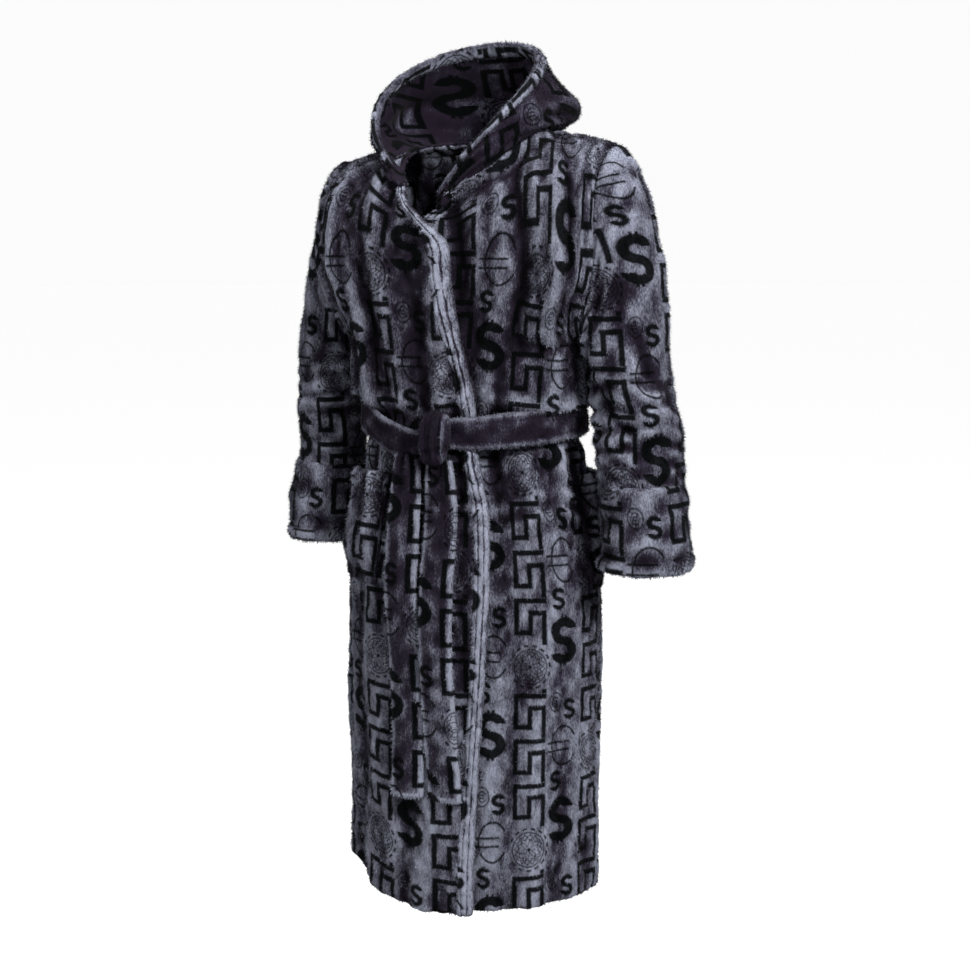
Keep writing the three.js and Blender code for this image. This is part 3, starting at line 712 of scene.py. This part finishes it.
def grow_pile(piece, name):
    """The pile on a piece, as a piece of its own that goes where the cloth goes."""
    material = piece.data.materials[0]
    growth = pile_growths.setdefault(material.name, None) or pile_growth(material)
    pile_growths[material.name] = growth
    return growth.run(piece.data, name, {"Density": float(TUFTS), "Length": TUFT_LENGTH, "Width": TUFT_WIDTH,
                                         "Seed": SEED + len(pile_growths)})


# ---- body panels ----
def panel_print(turn, row):
    return np.radians(turn) * PRINT_RADIUS, row


def front_panel(side):
    u, v = cell_grid(0.40 if side > 0 else 0.34, -HEM_Z)
    row = mix(HEM_Z, 0.0, v)
    inner = along(EDGE[side], row) + side * angle_of(BAND_WIDTH - BAND_TUCK, row)
    outer = side_seam(side, row) - side * angle_of(SEAM_GAP, row)
    turn = mix(inner, outer, outward(u, side))
    points = body_point(turn, row)
    sewn = 1 - 0.0022 / 0.004 * hump(turn, outer, 2.2)
    lift = body_drape(turn, row) * sewn - (underlap(turn, row) if side > 0 else 0)
    points = raised(points, lift)
    plush_piece(f"{NAME[side]}_front", f"{NAME[side]}_front_panel", points, CLOTH, panel_print(turn, row))


def stitch_lines(u):
    """Two rows of stitching pressed into a band, one near each edge."""
    return hump(u, 0.34, 0.05) + hump(u, 0.70, 0.05)


def rolled(part):
    """How far a rolled band rises, from 0 at its edges to 1 along its middle."""
    return np.clip(np.sin(math.pi * part), 0, 1) ** 0.55


def rolled_thick(roll):
    return 0.004 + (BAND_THICK - 0.003) * roll


def front_band(side):
    name = NAME[side]
    u, v = cell_grid(BAND_WIDTH * 4, -HEM_Z, 0.0035)
    row = mix(HEM_Z, 0.0, v)
    start = along(EDGE[side], row)
    turn = mix(start, start + side * angle_of(BAND_WIDTH, row), outward(u, side))
    points = body_point(turn, row)
    roll = rolled(u)
    pucker = 0.0008 * waves(u * 0.8, row / 0.016, 5, 21 + side)
    stitched = stitch_lines(u)
    proud = -BAND_TUCK + BAND_RISE * roll + pucker + body_drape(turn, row) - 0.0018 * stitched
    proud = proud - (underlap(turn, row) if side > 0 else 0)
    out = normals(points)
    points = points + out * proud[..., None]
    pattern = (0.41 * side + u * BAND_WIDTH, row * 0.9)
    # painted highlight: the band plush has a stronger pale pile, and lit adds more along the crest of the
    # roll; lit also makes the pile darker along the two stitch lines
    plush_piece(f"{name}_edge_band", f"{name}_front_band", points, rolled_thick(roll), pattern,
                slot="folded_band",
                material="band plush with painted highlight", lit=0.8 * roll - 1.0 * stitched, inward=out)


def back_panel():
    u, v = cell_grid(0.52, -HEM_Z)
    row = mix(HEM_Z, 0.0, v)
    left = side_seam(1, row) + angle_of(SEAM_GAP, row)
    right = 360 + side_seam(-1, row) - angle_of(SEAM_GAP, row)
    turn = mix(left, right, u)
    points = body_point(turn, row, True)
    points = raised(points, body_drape(turn, row))
    plush_piece("back", "back_panel", points, CLOTH, panel_print(turn, row))


# ---- sleeves and cuffs ----
SLEEVE_BEND = {side: ((side * 0.222, 0, -0.172), (side * 0.293, 0, -0.266)) for side in (1, -1)}


def armhole_point(turn, side):
    back = turn > 180
    down = np.where(back, 360 - turn, turn)
    upper = body_point(np.full_like(turn, side * 90.0), CHEST_Z * np.clip(down / 90, 0, 1), back)
    upper[..., 0] *= side
    swing = np.radians(np.clip(down - 90, 0, 90))
    z = CHEST_Z + (ARMPIT_Z - CHEST_Z) * np.sin(swing)
    y = ARMHOLE_HALF * np.cos(swing)
    lower = stack(along(SIDE, z), np.where(back, y, -y), z)
    return np.where((down <= 90)[..., None], upper, lower)


def sleeve_ring(turn, z, side):
    apart = smooth(-z, -CHEST_Z, -WRIST_Z) if side < 0 else 0
    x = along(SLEEVE_X, z) - RIGHT_ARM_INWARD * apart
    half = along(SLEEVE_HALF, z)
    if side < 0:
        half = half - RIGHT_ARM_NARROWER * (1 - smooth(-z, 0.430, 0.600))
    forward = along([(CAP_LOW_Z, 0.0), (WRIST_Z, ARM_FORWARD)], z) + RIGHT_ARM_BACK * apart
    angle = np.radians(turn)
    return stack(x + half * np.cos(angle), forward - half * SLEEVE_DEPTH * np.sin(angle), z)


def sleeve_surface(turn, v, side):
    """From the armhole, v = 0, over the shoulder's cap and down to the cuff, v = 1."""
    top = np.full_like(turn, CAP_LOW_Z)
    start = armhole_point(turn, side)
    start[..., 0] += 0.0012
    lower = sleeve_ring(turn, top, side)
    fall = 0.030 * smooth(start[..., 2], ARMPIT_Z, CHEST_Z)
    inward = 0.4 if side > 0 else 1.1
    middle_y = mix(start[..., 1], lower[..., 1], 0.5)
    bend = stack(lower[..., 0] - fall * inward, middle_y, start[..., 2] - fall)
    cap = bezier([start, bend, lower], np.clip(v / CAP_END, 0, 1))
    arm_part = np.clip((v - CAP_END) / (1 - CAP_END), 0, 1)
    arm = sleeve_ring(turn, mix(CAP_LOW_Z, CUFF_TOP_Z, arm_part), side)
    return np.where((v <= CAP_END)[..., None], cap, arm)


def sleeve_drape(turn, v, side):
    """Soft rings above the elbow and the cuff, and slanting folds that run from the armhole."""
    t = np.radians(turn)
    down = v * 0.56
    rings = hump(down, 0.37, 0.10) * (0.55 + 0.45 * np.cos(t - 2.3))
    lift = 0.0080 * rings * pleats(down / 0.0088 + 1.8 * np.sin(t + side) + 0.8 * side)
    slant = smooth(v, 0.04, 0.22) * (1 - smooth(v, 0.60, 0.95))
    lift = lift + 0.0120 * slant * pleats(3 * t + down / 0.040 + 1.2 * side, 0.7)
    lift = lift + 0.0050 * slant * pleats(7 * t - down / 0.030 + side)
    lift = lift + 0.0050 * smooth(v, 0.1, 0.4) * np.sin(2 * t + down / 0.07 + 2.1)
    lift = lift + 0.0018 * waves(t * 1.1, down / 0.05, 6, 31 + side) * smooth(v, 0.0, 0.1)
    return lift - 0.0030 * hump(v, 0, 0.012)


def round_the_arm(u, side):
    """The angle round a sleeve, from its seam at the inside and almost back to it."""
    return np.mod(180 + 359.4 * outward(u, -side), 360)


def sleeve(side):
    name = NAME[side]
    u, v = cell_grid(ARM_GIRTH, 0.58)
    turn = round_the_arm(u, side)
    points = sleeve_surface(turn, 1 - v, side)
    points[..., 0] *= side
    pattern = (u * ARM_GIRTH + 0.06 * side, length_up(points) + 0.11)
    lift = sleeve_drape(turn, 1 - v, side) * (1.0 if side > 0 else 0.6)
    points = raised(points, lift)
    plush_piece(f"{name}_arm", f"{name}_sleeve", points, CLOTH, pattern, f"{name}_arm", SLEEVE_BEND[side])


def cuff(side):
    name = NAME[side]
    u, v = cell_grid(ARM_GIRTH, 0.125, 0.0042)
    z = mix(WRIST_Z, CUFF_TOP_Z + 0.004, v)
    turn = round_the_arm(u, side)
    points = sleeve_ring(turn, z, side)
    points[..., 0] *= side
    up = v * 0.129
    hem = np.exp(-((up - 0.009) / 0.0095) ** 4)
    stitch = hump(up, 0.0205, 0.0018)
    proud = 0.0030 + 0.0050 * hem - 0.0030 * stitch
    proud = proud + 0.0022 * waves(np.radians(turn) * 1.1, up / 0.06, 5, 41 + side)
    proud = proud - 0.0030 * smooth(v, 0.955, 1.0)
    points = raised(points, proud)
    pattern = (u * ARM_GIRTH + 0.09 * side, up - 0.03)
    plush_piece(f"{name}_turned_cuff", f"{name}_cuff", points, 0.008 + 0.003 * hem, pattern, f"{name}_arm")


# ---- hood ----
HOOD_BEND = ((0, 0.05, 0.015), (0, 0.05, 0.100))


def neck_point(turn):
    side = np.where(turn < 0, -1.0, 1.0)
    around = np.abs(turn)
    front = top_point(side * NECK_ANGLE * np.clip(around, 0, 90) / 90, False)
    rear = top_point(side * (180 - NECK_ANGLE * np.clip(180 - around, 0, 90) / 90), True)
    return np.where((around <= 90)[..., None], front, rear) - np.array([0, 0, 0.003])


def hood_edge_point(turn):
    left = turn > 0
    half = np.where(left, HOOD_EDGE[1], HOOD_EDGE[-1])
    reach = mix(-HOOD_FRONT, HOOD_BACK, (1 - np.cos(np.radians(turn))) / 2)
    rise = np.sin(np.radians(np.abs(turn)) / 2) ** np.where(left, HOOD_RISE[1], HOOD_RISE[-1])
    low_z = np.where(left, HOOD_LOW_Z[1], HOOD_LOW_Z[-1])
    return stack(half * np.sin(np.radians(turn)), reach, mix(low_z, HOOD_TOP_Z, rise))


def hood_point(turn, up):
    low, top = neck_point(turn), hood_edge_point(turn)
    away = stack(np.sin(np.radians(turn)), -np.cos(np.radians(turn)), 0.0)
    behind = (1 - np.cos(np.radians(turn))) / 2
    slack = HOOD_SLACK * np.sin(np.radians(np.abs(turn))) + HOOD_POUCH * behind ** 2
    low[..., 2] -= 0.016 * np.where(turn > 0, 1 - smooth(turn, 0, 35), 0)
    tall = (top - low)[..., 2]
    first = low + away * slack[..., None] + stack(0.0, 0.0, mix(0.15, -0.10, behind) * tall)
    second = top + away * (mix(0.80, 0.62, behind) * slack)[..., None]
    second[..., 2] -= mix(0.25, 0.62, behind) * tall
    return bezier([low, first, second, top], up)


def hood_drape(turn, up):
    t = np.radians(turn)
    behind = smooth(np.abs(turn), 60, 140)
    middle = np.sin(math.pi * up)
    lift = 0.0060 * behind * middle * np.sin(up * 13 + 1.6 * np.sin(3 * t) + 0.5)
    lift = lift + 0.0040 * middle * np.sin(9 * t + 3 * up)
    lift = lift + 0.0025 * middle * waves(t * 1.3, up * 3, 6, 51)
    return lift - 0.0030 * hump(np.abs(turn), 180, 2.0) - 0.0025 * hump(up, 0, 0.03)


def hood_half(side):
    """One half of the hood, and the folded band along its mouth."""
    name = NAME[side]
    start = 90 * EDGE[side][0][1] / NECK_ANGLE
    seam = side * 179.75
    u, v = cell_grid(0.42, 0.30)
    turn = mix(start, seam, outward(u, side))
    half_way = hood_point(turn, np.full_like(u, 0.5))
    length = np.linalg.norm(hood_point(turn, np.ones_like(u)) - half_way, axis=-1)
    length = length + np.linalg.norm(half_way - hood_point(turn, 0 * u), axis=-1)
    split = 1 - (BAND_WIDTH - BAND_TUCK) / (length + BAND_WIDTH)
    up = split * v
    points = hood_point(turn, up)
    pattern = (np.radians(turn) * 0.13 + 0.3, length_up(points))
    points = raised(points, hood_drape(turn, up))
    # the hood plush is a darker copy of the plush: painted shade
    plush_piece(f"hood_{name}_half", f"hood_{name}", points, CLOTH, pattern, "hood", HOOD_BEND,
                material="hood plush with painted shade")
    bu, bv = cell_grid(0.48, BAND_WIDTH + 0.010, 0.0036)
    half_turn = turn[0] * side
    turn = mix(start, seam, outward(bu, side))
    split = np.interp(turn[0] * side, half_turn[::side], split[0][::side])
    up = mix(split[None, :], 1.0, bv)
    points = hood_point(turn, up)
    roll = rolled(bv)
    pucker = 0.0008 * waves(np.radians(turn) * 0.12 / 0.016, bv, 5, 61)
    proud = -BAND_TUCK + BAND_RISE * roll + pucker
    proud = proud + hood_drape(turn, up) * 0.6
    out = normals(points)
    points = points + out * proud[..., None]
    pattern = (bv * BAND_WIDTH + 0.305, np.radians(turn) * 0.13)
    # lit: painted highlight along the crest of the rolled band
    plush_piece(f"hood_{name}_edge", f"hood_{name}_band", points, rolled_thick(roll), pattern, "hood",
                HOOD_BEND, slot="folded_band",
                material="printed plush", lit=0.35 * roll, inward=out)


# ---- pockets ----
def pocket_fullness(u, from_top):
    across = smooth(np.minimum(u, 1 - u), 0, 0.22)
    return POCKET_FULLNESS * across * (1 - smooth(from_top, 0.6, 0.97))


def pocket(side):
    """A patch pocket, and the folded band at its mouth."""
    name = NAME[side]
    for part in ("", "_band"):
        tall = POCKET_BAND if part else POCKET_HEIGHT - POCKET_BAND
        top = POCKET_TOP_Z if part else POCKET_TOP_Z - POCKET_BAND
        u, v = cell_grid(POCKET_WIDTH, tall, 0.004)
        row = mix(top - tall, top, v)
        turn = POCKET_START[side] + side * POCKET_ANGLE * outward(u, side)
        fullness = pocket_fullness(u, 0 * v if part else 1 - v)
        edge = np.minimum(np.minimum(u * POCKET_WIDTH, (1 - u) * POCKET_WIDTH), 1.0 if part else v * tall)
        stitch = 0.0015 * hump(edge, 0.008, 0.0018)
        step = POCKET_STEP + (0.002 * np.sin(math.pi * v) ** 0.5 if part else 0.0)
        proud = step + fullness - stitch + body_drape(turn, row) * 0.7 + 0.0010 * waves(u * 2, v * 2, 5, 71)
        points = body_point(turn, row)
        points = raised(points, proud)
        pattern = (np.radians(turn) * PRINT_RADIUS + 0.035, row + 0.05)
        # the band at the pocket's mouth takes the band plush, with its painted highlight
        slot, material = ("folded_band", "band plush with painted highlight") if part else ("printed_plush", "printed plush")
        thick = CLOTH + (0.002 if part else 0.0)
        plush_piece(f"{name}_patch{part}", f"{name}_pocket{part}", points, thick, pattern,
                    slot=slot, material=material)


# ---- belt ----
def belt_wrap():
    knot_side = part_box("belt_knot")[1].x - 0.006
    start = math.degrees(math.asin(knot_side / (along(SIDE, np.array([WAIST_Z]))[0] + BELT_GAP)))
    u, v = cell_grid(1.0, BELT_HEIGHT + 0.006, 0.0042)
    turn = mix(start, 360 - start, u)
    near = np.exp(-np.minimum(u, 1 - u) / 0.035)
    height = BELT_HEIGHT * (1 - 0.16 * near)
    from_front = np.minimum(turn, 360 - turn)
    dip = 0.024 * (1 - smooth(360 - turn, 8, 60))
    z = WAIST_Z + height * (v - 0.5) + 0.014 * smooth(from_front, 10, 80) - dip
    points = level_point(np.where(turn > 180, turn - 360, turn), np.full_like(z, WAIST_Z))
    points[..., 2] = z
    edge = np.minimum(v, 1 - v) * BELT_HEIGHT
    fold = 0.0016 * np.sin(v * 9 + 2.2 * np.sin(np.radians(turn) * 2)) * (0.4 + near)
    proud = BELT_GAP + BELT_THICK - 0.0012 * hump(edge, 0.007, 0.0018) + fold
    proud = proud + 0.0014 * waves(turn / 30, v * 1.5, 6, 81)
    points = raised(points, proud)
    pattern = (v * BELT_HEIGHT + 0.115, np.radians(turn) * 0.17)
    # lit: painted highlight along the top and bottom edges, the rest of the belt a little darker
    plush_piece("belt_round_waist", "belt_wrap", points, BELT_THICK - 0.002, pattern,
                slot="belt_plush", material="plain belt plush",
                lit=1.1 * hump(edge, 0, 0.0050) - 0.2)


def belt_knot():
    """The knot: the belt's end brought up and over, a bulging loop creased from top to bottom."""
    lo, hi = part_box("belt_knot")
    middle, half = (lo + hi) / 2, (hi - lo) / 2
    shape = bmesh.new()
    bmesh.ops.create_icosphere(shape, subdivisions=6, radius=1.0)
    co = np.array([v.co for v in shape.verts])
    lobe = np.sign(co) * np.abs(co) ** np.array([0.50, 0.75, 0.62])
    x, y, z = lobe.T
    pinch = np.exp(-((z + 0.55 - 0.10 * x) / 0.22) ** 2)
    top = smooth(z, 0.5, 1.0)
    width = 0.87 - 0.10 * pinch - 0.10 * top
    crease = 0.0022 * np.sin(x * 8.0 + 1.4 * z + 0.6) * (1 - 0.6 * top) + 0.0016 * np.sin(x * 17.0 + z * 3)
    rolled = 0.0035 * hump(np.abs(x), 0.86, 0.12)
    front = half.y * (1.02 - 0.30 * pinch - 0.22 * top ** 2) + crease + rolled
    reach = np.where(y < 0, front, half.y * 0.9)
    points = np.stack([middle.x + 0.007 + x * half.x * width + 0.004 * z, middle.y + y * reach,
                       middle.z + z * half.z * 1.03], 1)
    heights = np.array([noise.noise(Vector(p) / 0.012) for p in points])
    points += co * (0.0012 * heights)[:, None]
    for vert, place in zip(shape.verts, points):
        vert.co = place
    mesh = bpy.data.meshes.new("knot")
    shape.to_mesh(mesh)
    mesh.shade_smooth()
    # painted highlight on the knot's rounded sides, stronger on the lit +X side, and darker between them
    painted_side_light = 1.4 * hump(x, 0.82, 0.16) + 0.7 * hump(x, -0.85, 0.12) - 0.35
    mark(mesh, np.stack([points[:, 0] + 0.145, points[:, 2] * 1.1, painted_side_light], 1), np.ones(len(points)))
    knot = placed("tied_knot", mesh)
    mesh.materials.append(materials["plain belt plush"])
    pile = grow_pile(knot, "tied_knot_pile")
    settle(knot, "robe_body", "belt_plush", ["belt_knot"])
    settle(pile, "robe_body", "belt_plush")


def belt_tail(name, node, body, drift, curl, seed):
    lo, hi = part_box(node)
    length = hi.z - lo.z
    middle = (lo.x + hi.x) / 2
    u, v = cell_grid(TAIL_WIDTH + 0.004, length, 0.0040)
    z = mix(lo.z, hi.z + 0.012, v)
    down = (1 - v) * length
    gather = np.exp(-down / 0.045)
    width = TAIL_WIDTH * (1 - 0.34 * gather)
    side = u - 0.5
    x = middle + side * width + drift * (1 - v) - drift / 2 + 0.003 * np.sin(down / 0.09 + seed)
    reach = mix(0.132, 0.158, smooth(-z, -KNOT_LOW_Z, -HIP_Z))
    sway = 0.0035 * np.sin(down / 0.075 + seed) * smooth(down, 0.02, 0.12)
    cup = curl * (4 * side ** 2) * smooth(down, 0.0, 0.15)
    fold = gather * 0.005 * np.sin(side * 13 + seed)
    y = -(reach + BELT_THICK) + sway + cup + fold
    edge = np.minimum(np.minimum(u, 1 - u) * TAIL_WIDTH, v * length)
    stitch = 0.0012 * hump(edge, 0.007, 0.0017)
    hem = 0.0015 * hump(v * length, 0.006, 0.006)
    points = stack(x, y + stitch - hem - 0.0012 * waves(side * 1.5, down / 0.05, 6, 90 + seed), z)
    bend = ((middle, -0.14, KNOT_LOW_Z), (middle, -0.15, KNOT_LOW_Z - 0.07))
    pattern = (u * TAIL_WIDTH + 0.065 * seed + 0.03, v * length)
    # lit: painted highlight along the edges and the lower end, the rest darker
    plush_piece(name, node, points, BELT_THICK - 0.002, pattern, body, bend,
                slot="belt_plush",
                material="belt plush", lit=1.5 * hump(edge, 0, 0.0060) - 0.3)


def strap(name, node, centre, across, width, thick):
    """A narrow woven strap along its centre line; across is the way its width runs."""
    u = np.linspace(0, 1, 5)[None, :, None]
    points = centre[:, None, :] + (u - 0.5) * width * across
    pattern = (points[..., 0], points[..., 2])
    piece = cloth(name, points, thick, pattern, "dark tape", 0.3)
    settle(piece, "robe_body", "tape", [node])


def belt_loop(side):
    """A loop stands off the side seam and holds the belt to it."""
    turn = side_seam(side, np.array([WAIST_Z]))
    foot = level_point(turn, np.array([WAIST_Z]))[0]
    angle = np.radians(turn[0])
    way = np.array([math.sin(angle) / WAIST_SIDE, -math.cos(angle) / WAIST_FRONT, 0])
    way /= np.linalg.norm(way)
    across = np.cross(way, [0, 0, 1.0])
    run = np.linspace(-1, 1, 41)
    half = BELT_HEIGHT / 2 + 0.007
    stand = 0.004 + (BELT_GAP + BELT_THICK - 0.001) * (1 - np.abs(run) ** 7)
    centre = foot + stand[:, None] * way + np.outer(run * half + 0.011, [0, 0, 1.0])
    strap(f"{NAME[side]}_loop", f"{NAME[side]}_belt_loop", centre, across, 0.012, 0.002)


def hanger_loop():
    lo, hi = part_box("hanger_loop")
    run = np.linspace(0, math.pi, 49)
    half = (hi.x - lo.x) / 2
    x = -half * np.cos(run) * 0.95
    z = hi.z - 0.004 - (hi.z - lo.z - 0.004) * (1 - np.sin(run) ** 0.35)
    centre = np.stack([x, np.full_like(x, (lo.y + hi.y) / 2), z], 1)
    strap("hanging_loop", "hanger_loop", centre, np.array([0, 1.0, 0]), 0.004, 0.0018)


# ---- camera, floor and light ----
FLOOR_Z = -1.52
LOOK_AT = Vector((0, 0, -0.5))
LAMPS = (("key", (3.3, -2.0, 2.0), 290, 0.8), ("fill", (-1.6, -3.6, 0.6), 55, 2.2),
         ("top", (-0.4, 0.2, 2.8), 80, 1.4), ("rear", (-2.2, 3.0, 1.4), 130, 1.4))


def staged(name, shape):
    mesh = bpy.data.meshes.new(name)
    shape.to_mesh(mesh)
    mesh.shade_smooth()
    piece = placed(name, mesh)
    return piece


def flat_disc(name, radius, z):
    shape = bmesh.new()
    bmesh.ops.create_circle(shape, cap_ends=True, segments=96, radius=radius)
    bmesh.ops.translate(shape, verts=shape.verts, vec=(0, 0, z))
    return staged(name, shape)


def round_dome(name, radius):
    shape = bmesh.new()
    bmesh.ops.create_uvsphere(shape, u_segments=64, v_segments=32, radius=radius)
    bmesh.ops.reverse_faces(shape, faces=shape.faces)
    return staged(name, shape)


def glowing(name, grey, strength):
    """A material that shines evenly; grey is what it gives back of the lamps' light."""
    maker = Shader(name)
    maker.surface.inputs["Base Color"].default_value = (grey, grey, grey, 1)
    maker.surface.inputs["Emission Color"].default_value = (1, 1, 1, 1)
    maker.surface.inputs["Emission Strength"].default_value = strength
    return maker


def studio():
    scene = bpy.context.scene
    azimuth, pitch, distance, eye_z = math.radians(27), math.radians(8.7), 3.0, -0.066
    camera = bpy.data.objects.new("camera", bpy.data.cameras.new("camera"))
    camera.data.lens, camera.data.sensor_width = 70.9, 36.0
    camera.location = (distance * math.sin(azimuth), -distance * math.cos(azimuth), eye_z)
    aside = 0.0174
    target_z = eye_z - distance * math.tan(pitch)
    target = Vector((aside * math.cos(azimuth), aside * math.sin(azimuth), target_z))
    camera.rotation_euler = (target - camera.location).to_track_quat("-Z", "Y").to_euler()
    scene.collection.objects.link(camera)
    scene.camera = camera
    scene.view_settings.view_transform = "Standard"

    floor = flat_disc("floor", 30, FLOOR_Z)
    floor.visible_diffuse = False
    maker = glowing("pale floor", 0.25, 0.88)
    maker.surface.inputs["Roughness"].default_value = 0.8
    floor.data.materials.append(maker.material)

    dome = round_dome("backdrop", 28)
    dome.visible_diffuse = dome.visible_glossy = dome.visible_shadow = False
    maker = glowing("white backdrop", 0.0, 0.97)
    maker.surface.inputs["Specular IOR Level"].default_value = 0.0
    dome.data.materials.append(maker.material)

    world = bpy.data.worlds.new("studio")
    world.use_nodes = True
    world.node_tree.nodes["Background"].inputs[0].default_value = (1.0, 1.0, 1.0, 1)
    world.node_tree.nodes["Background"].inputs[1].default_value = 0.30
    scene.world = world
    for name, place, power, size in LAMPS:
        data = bpy.data.lights.new(name, "AREA")
        data.energy, data.size = power, size
        lamp = bpy.data.objects.new(name, data)
        lamp.location = place
        lamp.rotation_euler = (LOOK_AT - lamp.location).to_track_quat("-Z", "Y").to_euler()
        scene.collection.objects.link(lamp)


studio()
make_materials()
back_panel()
for side in (1, -1):
    front_panel(side)
    front_band(side)
    sleeve(side)
    cuff(side)
    hood_half(side)
    pocket(side)
    belt_loop(side)
belt_wrap()
belt_knot()
belt_tail("front_tail", "belt_tail_front", "tail_front", 0.018, 0.004, 1)
belt_tail("rear_tail", "belt_tail_back", "tail_back", 0.010, 0.006, 3)
hanger_loop()
